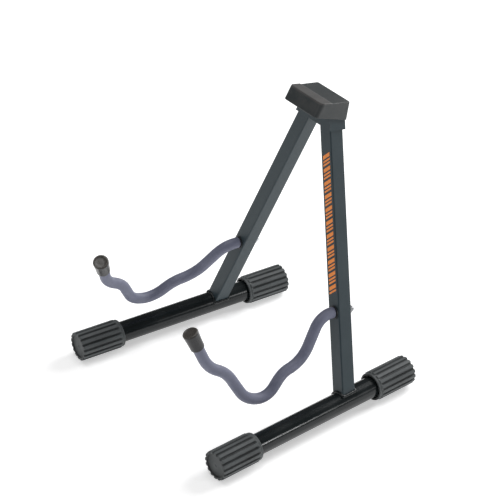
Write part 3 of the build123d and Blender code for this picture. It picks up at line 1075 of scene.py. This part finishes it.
@dataclass
class Leg:
    """One leg with its foot, sleeves, weld and the bushes that the arm turns in."""

    side: Side
    stance: Stance
    front_reach: float = 228.5 * MM
    rear_reach: float = 115.5 * MM
    sleeve_length: float = 67.0 * MM

    def sleeve_axes(self, end: FootEnd) -> Axes:
        """The frame at a sleeve's mouth, with its up towards the free end."""
        foot = self.stance.foot(self.side)
        if end is FootEnd.FRONT:
            mouth = foot.at(0, self.sleeve_length - self.front_reach, 0)
            return Axes(mouth, foot.right, foot.up, -foot.rear)
        mouth = foot.at(0, self.rear_reach - self.sleeve_length, 0)
        return Axes(mouth, foot.right, -foot.up, foot.rear)

    def build(self) -> None:
        """Dress the tubes and bushes, and make the sleeves, the weld and the print."""
        word = self.side.value
        body = f"{word}_leg"
        gloss, rubber, plastic = GLOSS_PAINT.material(), SLEEVE_RUBBER.material(), BUSH_PLASTIC.material()
        dress(f"{word}_leg_tube", CHARCOAL_PAINT.material())
        dress(f"{word}_foot_tube", gloss)
        dress(f"{word}_front_arm_bush", plastic)
        dress(f"{word}_rear_arm_bush", plastic)
        for end in FootEnd:
            node = f"{word}_{end.value}_foot_sleeve"
            Sleeve(self.sleeve_axes(end), f"{node}_ribbed").build(body, node, rubber)
        leg = self.stance.leg(self.side)
        bead = WeldBead(leg, self.stance.leg_length, self.stance.foot_pitch())
        bead.build(f"{word}_weld_rippled", body, f"{word}_weld_bead", gloss, 2.0 + self.side.sign)
        if self.side is Side.RIGHT:
            LegPrint(leg).build("right_leg_print", body, ORANGE_INK.material())


@dataclass
class Arm:
    """One padded arm: the soft cover, the moulded tip cap, and the rod with its nut."""

    side: Side
    stance: Stance
    corners: tuple[Point2, ...] = (
        (22.5, 0.0),
        (46.9, -62.5),
        (79.5, -75.0),
        (100.0, -106.0),
        (137.0, -104.0),
        (175.9, -55.3),
        (207.7, -41.8),
        (242.5, 14.5),
    )
    bends: tuple[float, ...] = (29.0, 46.0, 35.0, 28.0, 45.0, 64.0, 54.0)
    root: float = 1.8 * MM
    rod: float = 5.1 * MM
    collar: float = 6.9 * MM
    collar_depth: float = 1.6 * MM
    cover: float = 7.8 * MM
    cover_edge: float = 1.2 * MM
    cover_bevel: float = 0.5 * MM
    cover_step: float = 1.25 * MM
    bore_step: float = 4.0 * MM
    cap_length: float = 28.0 * MM
    cap_lap: float = 5.0 * MM
    cap_base: float = 9.7 * MM
    cap_end: float = 10.9 * MM
    cap_edge: float = 1.1 * MM
    cap_flare: float = 1.8
    cap_rim: float = 1.9 * MM
    cap_floor: float = 6.0 * MM
    dish_radius: float = 8.0 * MM
    dish_depth: float = 0.6 * MM
    nut_face: float = 25.4 * MM
    thread_end: float = 33.9 * MM
    blend: tuple[int, ...] = (-6, -3, 0, 3, 6)
    crease_length: float = 3.4 * MM
    crease_height: float = 0.16 * MM
    flattening: float = 0.12 * MM
    lump_height: float = 0.10 * MM
    tightest: float = 28.0 * MM
    seam_height: float = 0.10 * MM
    cover_around: int = 48
    cap_around: int = 96

    def route(self) -> Route:
        """The arm's centre line from the leg's front face, as forward reach and height."""
        points = [(0.0, 0.0), *self.corners]
        return Route([(x * MM, z * MM) for x, z in points], [radius * MM for radius in self.bends])

    def along(self, distance: float) -> tuple[Axes, float]:
        """The frame at a distance along the centre line, its up along the arm, and the curvature there."""
        arm = self.stance.arm(self.side)
        (reach, height), heading, curvature = self.route().at(distance)
        up = math.sin(heading) * arm.up - math.cos(heading) * arm.rear
        return Axes(arm.at(0, -reach, height), arm.right, up.cross(arm.right), up), curvature

    def ease(self, distance: float) -> float:
        """The curvature blended over the ends of the bends, for creases that come and go."""
        near = [self.along(distance + shift * MM)[1] for shift in self.blend]
        return sum(near) / len(near)

    def cover_skin(self) -> Skin:
        """The soft tube, open at both ends, with creases inside its bends."""
        end = self.route().length - self.cap_length + self.cap_lap
        outer, low, high = self.cover, self.root + self.cover_edge, end - self.cover_bevel
        first = arc((outer - self.cover_edge, low), self.cover_edge, 270, 360, 4)
        middle = [(outer, s) for s in spread(low, high, self.cover_step)[1:-1]]
        last = [(outer, high), (outer - self.cover_bevel, end)]
        deep = self.root + self.collar_depth
        bore = [(self.rod, s) for s in spread(end, deep, self.bore_step)]
        mouth = [(self.collar, deep), (self.collar, self.root)]
        skin, rings = Skin(), []
        for radius, distance in [*first, *middle, *last, *bore, *mouth]:
            axes, _ = self.along(distance)
            bend = self.ease(distance) if radius > self.collar else 0.0
            ring = []
            for index, (c, s) in enumerate(circle(self.cover_around)):
                soft = self.soften(index, s, distance, bend) if radius > self.collar else 0.0
                ring.append(axes.at((radius + soft) * c, (radius + soft) * s, 0))
            rings.append(ring)
        skin.stack(rings, loop=True)
        return skin

    def soften(self, index: int, inward: float, distance: float, bend: float) -> float:
        """How far the cover's skin leaves a true round.

        Args:
            index: The point's place in its ring.
            inward: From -1 on one side of the arm's plane to 1 on the other.
            distance: The distance along the arm.
            bend: The curvature of the centre line, above zero where it turns up.

        Returns:
            The offset, in metres.
        """
        tight = min(1.0, abs(bend) * self.tightest)
        inside = max(0.0, -math.copysign(1.0, bend) * inward) if bend else 0.0
        crease = math.sin(2 * math.pi * distance / self.crease_length + wobble(distance / (9 * MM), 1.0))
        lumps = wobble(distance / (8 * MM) + self.side.sign, 2 * math.pi * index / self.cover_around)
        folded = self.crease_height * crease * inside**2 - self.flattening * (1 - inside) * abs(inward)
        return self.lump_height * lumps + tight * folded

    def cap_profile(self) -> list[Point2]:
        """The tip cap's section, from its blind bore round to the middle of its dish."""
        length, base, end, rim = self.cap_length, self.cap_base, self.cap_end, self.cap_rim
        socket = self.cover + 0.1 * MM
        blind, lap, edge = length - self.cap_floor, self.cap_lap, self.cap_edge
        inside = [(0.0, blind), (self.rod, blind), (self.rod, lap)]
        inside += [(socket, lap), (socket, 0.4 * MM), (socket + 0.3 * MM, 0.0)]
        foot = arc((base - edge, edge), edge, 270, 360, 5)
        heights = spread(edge, length - rim, 1.0 * MM)[1:]
        flare = [(base + (end - base) * (z / (length - rim)) ** self.cap_flare, z) for z in heights]
        over = arc((end - rim, length - rim), rim, 0, 90, 8)[1:]
        dish, wall = length - self.dish_depth, self.dish_radius
        floor = [(wall + 0.35 * MM, length - 0.1 * MM), (wall, length - 0.45 * MM)]
        floor += [(wall - 0.4 * MM, dish), (0.5 * wall, dish + 0.12 * MM), (0.0, dish + 0.16 * MM)]
        return [*inside, *foot, *flare, *over, *floor]

    def seam(self, angle: float, radius: float, height: float) -> float:
        """The mould's parting line, a fine ridge up both sides of the tip cap."""
        off = abs(math.remainder(angle, math.pi)) * radius
        outside = radius > self.cap_base - 0.2 * MM
        return self.seam_height * (1 - between(0.1 * MM, 0.5 * MM, off)) if outside else 0.0

    def tip_cap(self, name: str) -> bpy.types.Object:
        """The tip cap, with a painted highlight round its rim and across its end."""
        base, _ = self.along(self.route().length - self.cap_length)

        def wear_and_painted_light(place: Vector) -> float:
            """How far the cap is painted paler at a place, a painted highlight."""
            height = (place - base.origin).dot(base.up)
            return between(self.cap_length - self.cap_rim, self.cap_length, height)

        skin = turned_round(base, self.cap_profile(), self.cap_around, self.seam)
        cap = skin.piece(name, TIP_RUBBER.material(), 50)
        # Painted highlight round the rim and across the end.
        store_painted_light(cap, wear_and_painted_light)
        return cap

    def build(self) -> None:
        """Make the cover and the cap in place of their CAD nodes, and dress the rest."""
        body = f"{self.side.value}_arm"
        zinc, nylon = ZINC.material(), NYLON.material()
        for part in ("rod", "washer", "nut"):
            dress(f"{body}_{part}", zinc)
        cover = self.cover_skin().piece(f"{body}_cover_soft", COVER_FOAM.material(), 50)
        cap = self.tip_cap(f"{body}_tip_moulded")
        for piece, node, slot in (
            (cover, f"{body}_cover", "foam_cover"),
            (cap, f"{body}_tip_cap", "tip_rubber"),
        ):
            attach(piece, body)
            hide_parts(node)
            LOG.info("%s rides on %s", piece.name, body)
        Fastening(self.stance.arm(self.side), body, body, self.nut_face, self.thread_end).build(zinc, nylon)


# Studio


@dataclass(frozen=True)
class SoftBox:
    """A square soft light that looks at a point."""

    name: str
    place: tuple[float, float, float]
    target: tuple[float, float, float]
    size: float
    power: float

    def build(self) -> None:
        """Hang the light."""
        data = bpy.data.lights.new(self.name, "AREA")
        data.shape = "SQUARE"
        data.size = self.size
        data.energy = self.power
        lamp = added(self.name, data)
        lamp.location = self.place
        look = Vector(self.target) - Vector(self.place)
        lamp.rotation_euler = look.to_track_quat("-Z", "Y").to_euler()


@dataclass
class Studio:
    """The floor, the lights and the camera."""

    floor_half: float = 40.0
    world_strength: float = 0.10
    azimuth: float = 53.63
    elevation: float = 32.16
    roll: float = 0.454
    distance: float = 2.8959
    lens: float = 151.5
    sensor: float = 36.0
    target: tuple[float, float, float] = (-0.02344, 0.0263, 0.18576)

    def lights(self) -> tuple[SoftBox, ...]:
        """The soft lights: big ones behind and overhead, a weak fill, and a small one for streaks."""
        middle = (0.0, 0.0, 0.1)
        return (
            SoftBox("key_light", (0.0, 2.3, 1.5), middle, 1.6, 62.0),
            SoftBox("top_light", (-0.3, 0.0, 2.8), middle, 1.6, 26.0),
            SoftBox("fill_light", (-0.1, -2.3, 1.3), middle, 1.2, 7.5),
            SoftBox("streak_light", (2.05, 1.25, 0.72), middle, 0.25, 6.0),
        )

    def build(self) -> None:
        """Make all of it."""
        self.lay_floor()
        for light in self.lights():
            light.build()
        self.set_world()
        self.place_camera()

    def lay_floor(self) -> None:
        """Lay the floor."""
        half = self.floor_half
        mesh = bpy.data.meshes.new("studio_floor")
        corners = [(-half, -half, 0), (half, -half, 0), (half, half, 0), (-half, half, 0)]
        mesh.from_pydata(corners, [], [(0, 1, 2, 3)])
        mesh.materials.append(StudioFloor("studio_floor", (0.93, 0.93, 0.93)).material())
        floor = added("studio_floor", mesh)

    def set_world(self) -> None:
        """Light the surroundings evenly."""
        scene = bpy.context.scene
        scene.world = bpy.data.worlds.new("studio")
        scene.world.use_nodes = True
        background = scene.world.node_tree.nodes["Background"]
        background.inputs["Color"].default_value = (1, 1, 1, 1)
        background.inputs["Strength"].default_value = self.world_strength
        scene.view_settings.view_transform = "Standard"

    def place_camera(self) -> None:
        """Set the camera up in front, to the right and above."""
        azimuth, elevation = math.radians(self.azimuth), math.radians(self.elevation)
        level = math.cos(elevation)
        back = Vector((math.sin(azimuth) * level, -math.cos(azimuth) * level, math.sin(elevation)))
        right = Vector((math.cos(azimuth), math.sin(azimuth), 0))
        roll = Matrix.Rotation(math.radians(self.roll), 3, back)
        right = roll @ right
        data = bpy.data.cameras.new("camera")
        data.lens = self.lens
        data.sensor_width = self.sensor
        camera = added("camera", data)
        turn = Matrix((right, back.cross(right), back)).transposed()
        camera.matrix_world = Matrix.Translation(Vector(self.target) + self.distance * back) @ turn.to_4x4()
        bpy.context.scene.camera = camera


def main() -> None:
    """Build the studio and the stand."""
    stance = Stance()
    Studio().build()
    Head(stance).build()
    for side in Side:
        Leg(side, stance).build()
        Arm(side, stance).build()


if __name__ == "__main__":
    logging.basicConfig(level=logging.INFO, format="%(name)s: %(message)s")
    main()
